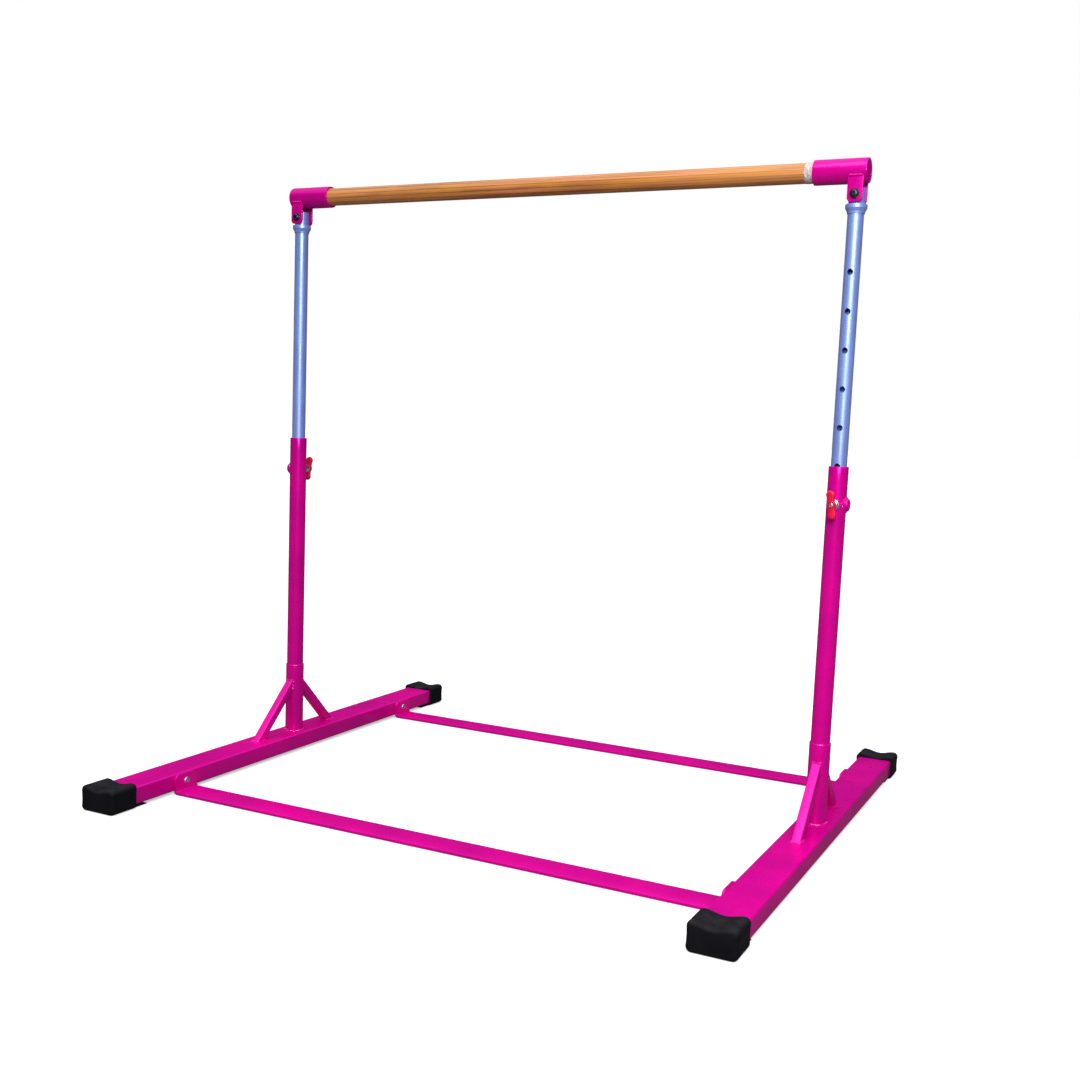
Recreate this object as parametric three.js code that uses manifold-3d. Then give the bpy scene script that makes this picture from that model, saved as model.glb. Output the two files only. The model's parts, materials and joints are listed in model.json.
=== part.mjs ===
// Height-adjustable kip bar for gymnastics practice: two welded side frames on
// rubber boots, two flat cross bars, telescopic posts and a wooden bar.
// Millimetres, +Z up. The origin is on the floor, half way between the posts.
// X runs along the bar, and the front of the object faces -Y.
import * as THREE from 'three';
import { mergeVertices } from 'three/addons/utils/BufferGeometryUtils.js';
import Module from 'manifold-3d';

// ---------------------------------------------------------------- dimensions
const POST_X = 673; // post axis, from the middle of the bar
const GAP = 0.3; // between pieces that rest on or are welded to each other
const BOLT_PLAY = 0.1; // under the head of a bolt or screw

const RAIL = { width: 80, height: 38, wall: 2, corner: 5, bottom: 7, halfLength: 642 };
const RAIL_TOP = RAIL.bottom + RAIL.height;
const RAIL_MID = RAIL.bottom + RAIL.height / 2;

const BOOT = { width: 91, height: 54, length: 68, end: 650, corner: 9, saddle: 4.5, waist: 1.5 };
const SOLE_TONGUE = { length: 38, width: 72, tip: 2 };

const CROSS = { y: 434, width: 68, thickness: 5, bottom: 1, bend: 4, top: 43, corner: 12 };

const SOCKET = { outer: 22, inner: 20.3, top: 214 }; // welded stub on the rail
const SLEEVE = { outer: 20, inner: 18, top: 783 }; // fixed lower post
const UPRIGHT = { outer: 16, inner: 14, bottom: 528, top: 1326 }; // sliding post
const HOLES = { first: 1164.2, pitch: 76.2, count: 9, radius: 5.8 };
const LOCK_HOLE = 6; // the hole that the lock stands at, counted down from the first

const BRACE = { size: 20, wall: 1.5, reach: 182.5 }; // |y| + z along its axis

const BAR = { radius: 20, z: 1359.5, halfLength: POST_X + 17 };
const BAR_SOCKET = { outer: 24.5, inner: 20.5, inboard: 87, outboard: 21.5 };
const END_DISC = { thickness: 3.4, play: 0.2, sunk: 0.6 };
const EAR = { width: 31, thickness: 5, inside: 16.6, bottom: 1297, top: 1354, corner: 9 };
const CLEVIS_Z = 1313;
const WASHER = { radius: 10, thickness: 1.8, play: 0.1 };
const COLLAR = { outer: 21.5, inner: 16.3, bottom: 1277, bevel: 8, top: 1295 };
// x is from the post axis
const BAR_SCREW = { x: -60, hole: 2.7, radius: 2.4, length: 14, depth: 8, head: 4.6, height: 3.2, slot: 1.2 };
const TAPE = { outer: 20.8, inner: 20.2, length: 16 };

const LOCK_Z = HOLES.first - LOCK_HOLE * HOLES.pitch;
const BOSS = { radius: 10, bore: 6, end: 34, wall: 2.4 };
const SIDE_BOSS = { radius: 13, bore: 4.2, end: 26.5 };
const PIN = { tip: 16.3, tipRadius: 4, shoulder: 18.8, shoulderRadius: 5.5, shank: 3, bore: 3.1, end: 44 };
const SPRING = { radius: 4.7, wire: 0.36, turns: 3.5, start: 20.9, end: 31 };
const KNOB = { back: 35.5, front: 46, plate: 8.5, hub: 8.5, lobe: 9, lobeAt: 20.5, waist: 6.5, recess: 6, recessDepth: 4.6, tilt: 8 };

const M8 = { radius: 4, clearance: 4.3, nutAcross: 13, nutHeight: 6.5, head: 8, headHeight: 4.6, length: 20 };
const M10 = { radius: 5, clearance: 5.2, nutAcross: 17, nutHeight: 9, head: 8.2, headHeight: 5.4, past: 14 };
const KNOB_NUT = { across: 8, sunk: 0.9, height: 3.5 };

const ARC = 16; // steps in half a circle on tubes
const FINE_ARC = 8; // the same on small round pieces

// ----------------------------------------------------------------- materials
const paint = (color, roughness, metalness) =>
  new THREE.MeshStandardMaterial({ color, roughness, metalness });
const MATERIALS = {
  frame: paint(0xd6008f, 0.3, 0.1), // gloss powder coat
  upright: paint(0x8d97b5, 0.35, 0.7), // zinc-plated tube
  wood: paint(0xb9712f, 0.5, 0),
  rubber: paint(0x1c1a1f, 0.8, 0),
  steel: paint(0xb9bcc4, 0.3, 1),
  knob: paint(0xe01030, 0.35, 0),
  tape: paint(0xe9e4ea, 0.5, 0),
};

// ------------------------------------------------------------ solid geometry
const wasm = await Module();
wasm.setup();

/** A closed three.js geometry as a manifold solid. */
function solid(geometry) {
  const bare = geometry.index ? geometry.toNonIndexed() : geometry.clone();
  bare.deleteAttribute('normal');
  bare.deleteAttribute('uv');
  const merged = mergeVertices(bare, 1e-4);
  return new wasm.Manifold(new wasm.Mesh({
    numProp: 3,
    vertProperties: new Float32Array(merged.attributes.position.array),
    triVerts: new Uint32Array(merged.index.array),
  }));
}

/** A manifold solid as a three.js geometry. */
function geometryOf(body) {
  const mesh = body.getMesh();
  const geometry = new THREE.BufferGeometry();
  geometry.setAttribute('position', new THREE.BufferAttribute(mesh.vertProperties, 3));
  geometry.setIndex(new THREE.BufferAttribute(mesh.triVerts, 1));
  geometry.computeVertexNormals();
  return geometry;
}

const AXIS_TURN = {
  X: (g) => g.rotateY(Math.PI / 2),
  Y: (g) => g.rotateX(-Math.PI / 2),
  Z: (g) => g,
};

/** An outline drawn in local X and Y, pushed from `from` to `to` along its local Z. */
function extrude(outline, from, to, arc = ARC) {
  const options = { depth: to - from, bevelEnabled: false, curveSegments: arc };
  return new THREE.ExtrudeGeometry(outline, options).translate(0, 0, from);
}

/** An outline given in X and Z, pushed along world Y from `from` to `to`. */
function extrudeY(outline, from, to, arc = ARC) {
  return extrude(outline, -to, -from, arc).rotateX(Math.PI / 2);
}

/** An outline given in Y and Z, pushed along world X from `from` to `to`. */
function extrudeX(outline, from, to, arc = ARC) {
  return extrude(outline, from, to, arc).rotateX(Math.PI / 2).rotateZ(Math.PI / 2);
}

/** A ring or, with no inner radius, a disc. */
function roundOutline(outer, inner = 0) {
  const shape = new THREE.Shape();
  shape.absarc(0, 0, outer, 0, 2 * Math.PI, false);
  if (inner > 0) {
    const hole = new THREE.Path();
    hole.absarc(0, 0, inner, 0, 2 * Math.PI, true);
    shape.holes.push(hole);
  }
  return shape;
}

/** A cylinder or a tube between two places on a world axis through the local origin. */
function round(axis, outer, inner, from, to, arc = ARC) {
  return AXIS_TURN[axis](extrude(roundOutline(outer, inner), from, to, arc));
}

function roundedRectangle(width, height, radius, path = new THREE.Shape()) {
  const x = width / 2 - radius;
  const y = height / 2 - radius;
  path.absarc(x, y, radius, 0, Math.PI / 2, false);
  path.absarc(-x, y, radius, Math.PI / 2, Math.PI, false);
  path.absarc(-x, -y, radius, Math.PI, 1.5 * Math.PI, false);
  path.absarc(x, -y, radius, 1.5 * Math.PI, 2 * Math.PI, false);
  path.closePath();
  return path;
}

function squareTube(width, height, radius, wall) {
  const shape = roundedRectangle(width, height, radius);
  const hole = roundedRectangle(width - 2 * wall, height - 2 * wall, radius - wall / 2, new THREE.Path());
  shape.holes.push(hole);
  return shape;
}

function hexOutline(acrossFlats, bore) {
  const shape = new THREE.Shape();
  const corner = acrossFlats / Math.sqrt(3);
  for (let i = 0; i < 6; i += 1) {
    const angle = (i * Math.PI) / 3;
    const point = [corner * Math.cos(angle), corner * Math.sin(angle)];
    if (i === 0) shape.moveTo(...point);
    else shape.lineTo(...point);
  }
  shape.closePath();
  if (bore) {
    const hole = new THREE.Path();
    hole.absarc(0, 0, bore, 0, 2 * Math.PI, true);
    shape.holes.push(hole);
  }
  return shape;
}

/** A revolved outline of [radius, height] points that closes on itself or on the axis, axis +Z. */
function lathe(points, steps = 2 * FINE_ARC) {
  const outline = points.map(([radius, height]) => new THREE.Vector2(radius, height));
  return new THREE.LatheGeometry(outline, steps).rotateX(Math.PI / 2);
}

// -------------------------------------------------------------- scene graph
const object = new THREE.Group();

function addMesh(parent, name, geometry, material) {
  const mesh = new THREE.Mesh(geometry, MATERIALS[material].clone());
  mesh.name = name;
  parent.add(mesh);
  return mesh;
}

/** Button-head bolt, its head's underside at the local origin and its head towards +Z. */
function buttonBolt({ radius, head, headHeight }, length) {
  const rim = 0.25 * headHeight;
  const crown = headHeight - rim;
  const dome = [0, 0.4, 0.75].map((share) => {
    const angle = (share * Math.PI) / 2;
    return [head * Math.cos(angle), rim + crown * Math.sin(angle)];
  });
  const profile = [[0, -length], [radius, -length], [radius, 0], [head, 0], ...dome];
  profile.push([0, headHeight]);
  const key = extrude(hexOutline(1.2 * radius), 0.35 * headHeight, 2 * headHeight);
  return geometryOf(solid(lathe(profile)).subtract(solid(key)));
}

// ---------------------------------------------------------------- side frame
/** Rectangular floor rail along Y, with holes for the cross bar bolts in its inner wall. */
function railGeometry() {
  const tube = squareTube(RAIL.width, RAIL.height, RAIL.corner, RAIL.wall);
  let body = solid(extrudeY(tube, -RAIL.halfLength, RAIL.halfLength, 4).translate(0, 0, RAIL_MID));
  const drill = round('X', M8.clearance, 0, -RAIL.width, 0, FINE_ARC);
  for (const y of [-CROSS.y, CROSS.y]) {
    body = body.subtract(solid(drill.clone().translate(0, y, RAIL_MID)));
  }
  return geometryOf(body);
}

/** Outline of the rubber boot: sides and top sag inwards a little between the corners. */
function bootOutline() {
  const { width, height, corner, saddle, waist } = BOOT;
  const x = width / 2;
  const foot = 4;
  const shape = new THREE.Shape();
  shape.moveTo(-x + foot, 0);
  shape.lineTo(x - foot, 0);
  shape.absarc(x - foot, foot, foot, 1.5 * Math.PI, 2 * Math.PI, false);
  shape.quadraticCurveTo(x - 2 * waist, height / 2, x, height - corner);
  shape.absarc(x - corner, height - corner, corner, 0, Math.PI / 2, false);
  shape.quadraticCurveTo(0, height - 2 * saddle, -x + corner, height);
  shape.absarc(-x + corner, height - corner, corner, Math.PI / 2, Math.PI, false);
  shape.quadraticCurveTo(-x + 2 * waist, height / 2, -x, foot);
  shape.absarc(-x + foot, foot, foot, Math.PI, 1.5 * Math.PI, false);
  return shape;
}

/** Rubber boot on the rail's -Y end, with a sole that runs on under the rail. */
function bootGeometry() {
  const inner = -BOOT.end + BOOT.length;
  const slab = solid(extrudeY(bootOutline(), -BOOT.end, inner, 4));
  const pocket = roundedRectangle(RAIL.width + 2 * GAP, RAIL.height + 2 * GAP, RAIL.corner);
  const pocketEnd = -RAIL.halfLength - GAP;
  const hollow = solid(extrudeY(pocket, pocketEnd, inner + 10, 4).translate(0, 0, RAIL_MID));
  const tongue = new THREE.Shape();
  tongue.moveTo(inner - 10, 0);
  tongue.lineTo(inner + SOLE_TONGUE.length, 0);
  tongue.lineTo(inner + SOLE_TONGUE.length, SOLE_TONGUE.tip);
  tongue.lineTo(inner, RAIL.bottom - GAP);
  tongue.lineTo(inner - 10, RAIL.bottom - GAP);
  tongue.closePath();
  const half = SOLE_TONGUE.width / 2;
  return geometryOf(slab.subtract(hollow).add(solid(extrudeX(tongue, -half, half))));
}

/** Square brace from the post socket down to the rail top, on the -Y side. */
function braceGeometry() {
  const tube = squareTube(BRACE.size, BRACE.size, 2.5, BRACE.wall);
  const length = BRACE.reach * 1.6;
  const bar = extrude(tube, 0, length, 2).rotateX(-Math.PI / 4);
  const foot = BRACE.reach - RAIL_TOP + BRACE.size;
  bar.translate(0, -foot, RAIL_TOP - BRACE.size);
  const post = round('Z', SOCKET.outer + GAP, 0, 0, 2 * BRACE.reach);
  const beyond = new THREE.BoxGeometry(100, 400, 600).translate(0, 200, RAIL_TOP + 300);
  const floor = new THREE.BoxGeometry(100, 600, 100).translate(0, -200, RAIL_TOP + GAP - 50);
  return geometryOf(solid(bar).subtract(solid(post)).subtract(solid(beyond)).subtract(solid(floor)));
}

/** Fixed lower post, with the hole behind the lock boss. */
function sleeveGeometry() {
  const tube = solid(round('Z', SLEEVE.outer, SLEEVE.inner, RAIL_TOP + 2 * GAP, SLEEVE.top));
  const drill = round('Y', BOSS.bore, 0, -2 * SLEEVE.outer, 0, FINE_ARC).translate(0, 0, LOCK_Z);
  return geometryOf(tube.subtract(solid(drill)));
}

/** Hollow boss that guides the lock pin on the sleeve's -Y side. */
function lockBossGeometry() {
  const barrel = solid(round('Y', BOSS.radius, 0, -BOSS.end, -SLEEVE.inner / 2, FINE_ARC * 1.5));
  const bore = solid(round('Y', BOSS.bore, 0, -BOSS.end + BOSS.wall, 0, FINE_ARC));
  const eye = solid(round('Y', PIN.bore, 0, -2 * BOSS.end, 0, FINE_ARC));
  const post = solid(round('Z', SLEEVE.outer + GAP, 0, -50, 50));
  return geometryOf(barrel.subtract(post).subtract(bore).subtract(eye).translate([0, 0, LOCK_Z]));
}

/** Plain threaded boss on the sleeve's outboard side. */
function sideBossGeometry() {
  const ring = solid(round('X', SIDE_BOSS.radius, SIDE_BOSS.bore, 10, SIDE_BOSS.end, FINE_ARC * 1.5));
  const post = solid(round('Z', SLEEVE.outer + GAP, 0, -50, 50));
  return geometryOf(ring.subtract(post).translate([0, 0, LOCK_Z]));
}

// ---------------------------------------------------------------- upper frame
/** Sliding upright: a row of holes in its -Y wall and a clevis hole through its top. */
function uprightGeometry() {
  let tube = solid(round('Z', UPRIGHT.outer, UPRIGHT.inner, UPRIGHT.bottom, UPRIGHT.top));
  const drill = round('Y', HOLES.radius, 0, -2 * UPRIGHT.outer, 0, 6);
  for (let i = 0; i < HOLES.count; i += 1) {
    const z = HOLES.first - i * HOLES.pitch;
    tube = tube.subtract(solid(drill.clone().translate(0, 0, z)));
  }
  const clevis = round('Y', M10.clearance, 0, -50, 50, FINE_ARC).translate(0, 0, CLEVIS_Z);
  return geometryOf(tube.subtract(solid(clevis)));
}

function collarGeometry() {
  const { outer, inner, bottom, bevel, top } = COLLAR;
  return lathe([
    [inner, bottom], [inner + 1.4, bottom], [outer, bottom + bevel], [outer, top - 1.2],
    [outer - 1.2, top], [inner, top], [inner, bottom],
  ], 2 * ARC);
}

/** Tube that holds the end of the bar, with a screw hole in the wall that faces the rear. */
function barSocketGeometry(isLeft) {
  const { outer, inner, inboard, outboard } = BAR_SOCKET;
  const tube = solid(round('X', outer, inner, -inboard, outboard).translate(0, 0, BAR.z));
  const drill = round('Y', BAR_SCREW.hole, 0, 0, 2 * outer, FINE_ARC);
  if (isLeft) drill.rotateZ(Math.PI);
  return geometryOf(tube.subtract(solid(drill.translate(BAR_SCREW.x, 0, BAR.z))));
}

/** Flat clevis ear under the bar socket, on the -Y side. */
function earGeometry() {
  const { width, thickness, inside, bottom, top, corner } = EAR;
  const x = width / 2;
  const plate = new THREE.Shape();
  plate.moveTo(-x, top);
  plate.lineTo(-x, bottom + corner);
  plate.absarc(-x + corner, bottom + corner, corner, Math.PI, 1.5 * Math.PI, false);
  plate.absarc(x - corner, bottom + corner, corner, 1.5 * Math.PI, 2 * Math.PI, false);
  plate.lineTo(x, top);
  plate.closePath();
  const hole = new THREE.Path();
  hole.absarc(0, CLEVIS_Z, M10.clearance, 0, 2 * Math.PI, true);
  plate.holes.push(hole);
  const body = solid(extrudeY(plate, -inside - thickness, -inside, FINE_ARC));
  const tube = solid(round('X', BAR_SOCKET.outer + GAP, 0, -50, 50).translate(0, 0, BAR.z));
  return geometryOf(body.subtract(tube));
}

function barGeometry() {
  let rod = solid(round('X', BAR.radius, 0, -BAR.halfLength, BAR.halfLength));
  const pilot = round('Y', BAR_SCREW.hole, 0, BAR_SCREW.depth, 2 * BAR.radius, FINE_ARC);
  for (const x of [-POST_X - BAR_SCREW.x, POST_X + BAR_SCREW.x]) {
    rod = rod.subtract(solid(pilot.clone().translate(x, 0, 0)));
  }
  return geometryOf(rod.translate([0, 0, BAR.z]));
}

/** Pan-head screw, its head's underside at the local origin and its head towards +Z. */
function panScrewGeometry() {
  const { radius, length, head, height, slot } = BAR_SCREW;
  const shank = [[0, -length], [radius, radius - length], [radius, 0]];
  const crown = [[head, 0], [head, 0.4 * height], [0.75 * head, 0.85 * height], [0, height]];
  let body = solid(lathe([...shank, ...crown]));
  for (const [x, y] of [[slot, head], [head, slot]]) {
    body = body.subtract(solid(new THREE.BoxGeometry(x, y, height).translate(0, 0, height)));
  }
  return geometryOf(body);
}

// ----------------------------------------------------------------------- lock
/** Stepped pin along -Y: tip, shoulder for the spring, and shank to the knob. */
function pinGeometry() {
  const { tip, tipRadius, shoulder, shoulderRadius, shank, end } = PIN;
  return lathe([
    [0, tip], [tipRadius - 0.6, tip], [tipRadius, tip + 0.6], [tipRadius, shoulder],
    [shoulderRadius, shoulder], [shoulderRadius, shoulder + 1.5], [shank, shoulder + 1.5],
    [shank, end], [0, end],
  ]).rotateX(Math.PI / 2).rotateY(Math.PI);
}

class Helix extends THREE.Curve {
  getPoint(t, target = new THREE.Vector3()) {
    const angle = t * SPRING.turns * 2 * Math.PI;
    const along = THREE.MathUtils.lerp(SPRING.start, SPRING.end, t);
    return target.set(SPRING.radius * Math.cos(angle), -along, SPRING.radius * Math.sin(angle));
  }
}

function springGeometry() {
  const wire = new THREE.Shape();
  wire.absarc(0, 0, SPRING.wire, 0, 2 * Math.PI, false);
  const steps = Math.round(SPRING.turns * 9);
  const options = { steps, extrudePath: new Helix(), curveSegments: 2, bevelEnabled: false };
  return geometryOf(solid(new THREE.ExtrudeGeometry(wire, options)));
}

/** Wing knob: two lobes with a waist between them, a round hub and a recess for its nut. */
function knobGeometry() {
  const { back, front, plate, hub, lobe, lobeAt, waist, recess, recessDepth } = KNOB;
  const side = Math.PI / 7;
  const wing = new THREE.Shape();
  wing.absarc(0, lobeAt, lobe, -side, Math.PI + side, false);
  wing.quadraticCurveTo(-waist, 0, -lobe * Math.cos(side), -lobeAt + lobe * Math.sin(side));
  wing.absarc(0, -lobeAt, lobe, Math.PI - side, 2 * Math.PI + side, false);
  wing.quadraticCurveTo(waist, 0, lobe * Math.cos(side), lobeAt - lobe * Math.sin(side));
  const grip = solid(extrudeY(wing, -front, -front + plate, FINE_ARC));
  const boss = solid(round('Y', hub, 0, -front, -back, FINE_ARC));
  const pocket = solid(round('Y', recess, 0, -front - 5, -front + recessDepth, FINE_ARC));
  const bore = solid(round('Y', PIN.bore, 0, -2 * front, 0, FINE_ARC));
  return geometryOf(grip.add(boss).subtract(pocket).subtract(bore));
}

function knobNutGeometry() {
  const { across, sunk, height } = KNOB_NUT;
  const face = -KNOB.front + sunk;
  return extrudeY(hexOutline(across, PIN.bore), face, face + height, FINE_ARC);
}

// ------------------------------------------------------------------- assembly
/** One side: built with its outboard side towards +X, and turned half round for the left. */
function addSide(side) {
  const isLeft = side === 'left';
  const frame = new THREE.Group();
  frame.position.x = isLeft ? -POST_X : POST_X;
  frame.rotation.z = isLeft ? Math.PI : 0;
  object.add(frame);
  // local -Y is the front on the right side and the rear on the left side
  const near = isLeft ? 'rear' : 'front';
  const far = isLeft ? 'front' : 'rear';
  const ends = [[near, 0], [far, Math.PI]];

  addMesh(frame, `floor_rail_${side}`, railGeometry(), 'frame');
  addMesh(frame, `post_socket_${side}`,
    round('Z', SOCKET.outer, SOCKET.inner, RAIL_TOP + GAP, SOCKET.top), 'frame');
  addMesh(frame, `post_sleeve_${side}`, sleeveGeometry(), 'frame');
  addMesh(frame, `lock_boss_${side}`, lockBossGeometry(), 'steel');
  addMesh(frame, `side_boss_${side}`, sideBossGeometry(), 'frame');
  for (const [end, turn] of ends) {
    addMesh(frame, `end_boot_${end}_${side}`, bootGeometry(), 'rubber').rotation.z = turn;
    addMesh(frame, `brace_${end}_${side}`, braceGeometry(), 'frame').rotation.z = turn;
    addMesh(frame, `socket_ear_${end}_${side}`, earGeometry(), 'frame').rotation.z = turn;
    const y = turn ? CROSS.y : -CROSS.y;
    const wall = -RAIL.width / 2;
    const bolt = addMesh(frame, `cross_bolt_${end}_${side}`, buttonBolt(M8, M8.length), 'steel');
    bolt.position.set(wall - GAP - CROSS.thickness - BOLT_PLAY, y, RAIL_MID);
    bolt.rotation.y = -Math.PI / 2;
    const hex = hexOutline(M8.nutAcross, M8.clearance);
    const nut = extrudeX(hex, 0, M8.nutHeight, FINE_ARC);
    addMesh(frame, `cross_nut_${end}_${side}`, nut, 'steel')
      .position.set(wall + RAIL.wall + GAP, y, RAIL_MID);
  }

  addMesh(frame, `upright_${side}`, uprightGeometry(), 'upright');
  addMesh(frame, `upright_collar_${side}`, collarGeometry(), 'upright');
  addMesh(frame, `bar_socket_${side}`, barSocketGeometry(isLeft), 'frame');
  const discEnd = BAR_SOCKET.outboard - END_DISC.sunk;
  const disc = round('X', BAR_SOCKET.inner - END_DISC.play, 0, discEnd - END_DISC.thickness, discEnd);
  addMesh(frame, `socket_end_disc_${side}`, disc.translate(0, 0, BAR.z), 'frame');
  const face = EAR.inside + EAR.thickness;
  // the bolt heads face the front on both sides
  const front = isLeft ? 1 : -1;
  const seat = face + WASHER.play;
  const washerTop = seat + WASHER.thickness;
  const washer = round('Y', WASHER.radius, M10.clearance, seat, washerTop, FINE_ARC * 1.5);
  const washerMesh = addMesh(frame, `clevis_washer_${side}`, washer, 'steel');
  washerMesh.position.z = CLEVIS_Z;
  washerMesh.rotation.z = isLeft ? 0 : Math.PI;
  const clevisBolt = addMesh(frame, `clevis_bolt_${side}`, buttonBolt(M10, 2 * face + M10.past), 'steel');
  clevisBolt.position.set(0, front * (washerTop + WASHER.play), CLEVIS_Z);
  clevisBolt.rotation.x = -front * Math.PI / 2;
  const hexagon = hexOutline(M10.nutAcross, M10.clearance);
  const nut = extrudeY(hexagon, seat, seat + M10.nutHeight, FINE_ARC);
  const nutMesh = addMesh(frame, `clevis_nut_${side}`, nut, 'steel');
  nutMesh.position.z = CLEVIS_Z;
  nutMesh.rotation.z = isLeft ? Math.PI : 0;
  const screw = addMesh(frame, `bar_screw_${side}`, panScrewGeometry(), 'steel');
  screw.position.set(BAR_SCREW.x, -front * (BAR_SOCKET.outer + BOLT_PLAY), BAR.z);
  screw.rotation.x = front * Math.PI / 2;

  const lock = new THREE.Group();
  lock.position.z = LOCK_Z;
  frame.add(lock);
  addMesh(lock, `lock_pin_${side}`, pinGeometry(), 'steel');
  addMesh(lock, `lock_spring_${side}`, springGeometry(), 'steel');
  const tilt = THREE.MathUtils.degToRad(-KNOB.tilt);
  addMesh(lock, `lock_knob_${side}`, knobGeometry(), 'knob').rotation.y = tilt;
  addMesh(lock, `knob_nut_${side}`, knobNutGeometry(), 'steel');
}

/** Flat bar between the rails, bent up at each end and bolted to the rails' inner walls. */
function crossBarGeometry() {
  const { width, thickness, bottom, bend, top, corner } = CROSS;
  const reach = POST_X - RAIL.width / 2 - GAP;
  const outer = bend + thickness;
  const channel = new THREE.Shape();
  channel.absarc(reach - outer, bottom + outer, outer, 1.5 * Math.PI, 2 * Math.PI, false);
  channel.lineTo(reach, top);
  channel.lineTo(reach - thickness, top);
  channel.absarc(reach - outer, bottom + outer, bend, 2 * Math.PI, 1.5 * Math.PI, true);
  channel.absarc(-reach + outer, bottom + outer, bend, 1.5 * Math.PI, Math.PI, true);
  channel.lineTo(-reach + thickness, top);
  channel.lineTo(-reach, top);
  channel.absarc(-reach + outer, bottom + outer, outer, Math.PI, 1.5 * Math.PI, false);
  channel.closePath();
  const strip = solid(extrudeY(channel, -width / 2, width / 2, 6));

  const trim = new THREE.Shape();
  trim.moveTo(-width / 2, 0);
  trim.lineTo(width / 2, 0);
  trim.absarc(width / 2 - corner, top - corner, corner, 0, Math.PI / 2, false);
  trim.absarc(-width / 2 + corner, top - corner, corner, Math.PI / 2, Math.PI, false);
  trim.closePath();
  const rounded = solid(extrudeX(trim, -POST_X, POST_X, FINE_ARC / 2));
  const drill = solid(round('X', M8.clearance, 0, -POST_X, POST_X, FINE_ARC).translate(0, 0, RAIL_MID));
  return geometryOf(strip.intersect(rounded).subtract(drill));
}

addSide('right');
addSide('left');
addMesh(object, 'cross_bar_front', crossBarGeometry(), 'frame').position.y = -CROSS.y;
addMesh(object, 'cross_bar_rear', crossBarGeometry(), 'frame').position.y = CROSS.y;
addMesh(object, 'wooden_bar', barGeometry(), 'wood');
const tapeEnd = POST_X - BAR_SOCKET.inboard - 0.6;
addMesh(object, 'bar_tape', round('X', TAPE.outer, TAPE.inner, tapeEnd - TAPE.length, tapeEnd)
  .translate(0, 0, BAR.z), 'tape');

export default object;
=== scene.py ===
import json
import math

import bmesh
import bpy
from mathutils import Matrix, Vector


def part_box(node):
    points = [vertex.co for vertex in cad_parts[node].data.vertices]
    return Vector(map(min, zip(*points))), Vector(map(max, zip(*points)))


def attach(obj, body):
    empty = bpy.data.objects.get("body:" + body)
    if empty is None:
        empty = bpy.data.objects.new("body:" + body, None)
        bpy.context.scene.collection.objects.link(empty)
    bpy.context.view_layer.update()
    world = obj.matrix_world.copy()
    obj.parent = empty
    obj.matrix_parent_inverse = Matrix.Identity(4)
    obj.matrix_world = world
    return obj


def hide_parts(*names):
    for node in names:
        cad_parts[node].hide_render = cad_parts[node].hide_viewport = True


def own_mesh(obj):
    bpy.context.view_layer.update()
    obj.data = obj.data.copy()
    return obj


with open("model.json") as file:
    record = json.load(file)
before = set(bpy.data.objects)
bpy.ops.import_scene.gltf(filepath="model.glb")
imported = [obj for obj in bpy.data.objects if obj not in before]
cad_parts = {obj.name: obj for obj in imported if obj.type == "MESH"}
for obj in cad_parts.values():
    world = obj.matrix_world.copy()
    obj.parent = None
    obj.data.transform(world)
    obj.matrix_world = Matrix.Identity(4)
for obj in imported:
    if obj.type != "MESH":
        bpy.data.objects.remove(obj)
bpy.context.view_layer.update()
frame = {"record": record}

MM = 0.001
NODE_BODY = {
    node: body
    for body, nodes in frame["record"]["behaviour"]["bodies"].items()
    for node in nodes
}


# ---- dimensions
def middle(node):
    low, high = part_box(node)
    return (low + high) / 2


def extent(node):
    low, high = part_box(node)
    return high - low


POST_X = middle("upright_right").x
RAIL_LOW, RAIL_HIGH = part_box("floor_rail_right")
RAIL_WIDTH = RAIL_HIGH.x - RAIL_LOW.x
RAIL_HEIGHT = RAIL_HIGH.z - RAIL_LOW.z
RAIL_TOP = RAIL_HIGH.z
RAIL_MID = (RAIL_LOW.z + RAIL_HIGH.z) / 2
RAIL_WALL = 2 * MM
RAIL_CORNER = 5 * MM

STUB_RADIUS = extent("post_socket_right").x / 2
STUB_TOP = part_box("post_socket_right")[1].z
SLEEVE_RADIUS = extent("post_sleeve_right").x / 2
SLEEVE_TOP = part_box("post_sleeve_right")[1].z
SLEEVE_WALL = 2 * MM
UPRIGHT_RADIUS = extent("upright_right").x / 2
UPRIGHT_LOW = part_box("upright_right")[0].z
UPRIGHT_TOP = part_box("upright_right")[1].z
UPRIGHT_WALL = 2 * MM

LOCK_Z = middle("lock_boss_right").z
HOLE_PITCH = 76.2 * MM
HOLE_RADIUS = 5.8 * MM
HOLES_UP, HOLES_DOWN = 6, 2  # holes above and below the one at the lock

BAR_Z = middle("wooden_bar").z
BAR_RADIUS = extent("wooden_bar").z / 2
BAR_HALF = extent("wooden_bar").x / 2
BAR_SOCKET_RADIUS = extent("bar_socket_right").z / 2
BAR_SOCKET_BORE = 20.5 * MM
EAR_LOW, EAR_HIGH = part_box("socket_ear_front_right")
CLEVIS_Z = middle("clevis_washer_right").z
CROSS_Y = middle("cross_bar_rear").y
CROSS_LOW, CROSS_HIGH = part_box("cross_bar_rear")

BRACE_SIZE = 20 * MM
BRACE_CORNER = 2.5 * MM
BRACE_WALL = 1.5 * MM
BRACE_REACH = 182.5 * MM  # distance from the post plus height, along the brace's axis

CROSS_THICKNESS = 5 * MM
CROSS_HOLE = 4.3 * MM  # radii of the bolt, screw and pin holes
CLEVIS_HOLE = 5.2 * MM
SCREW_HOLE = 2.7 * MM
LOCK_HOLE = 6 * MM
SHANK_HOLE = 3.1 * MM

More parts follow.
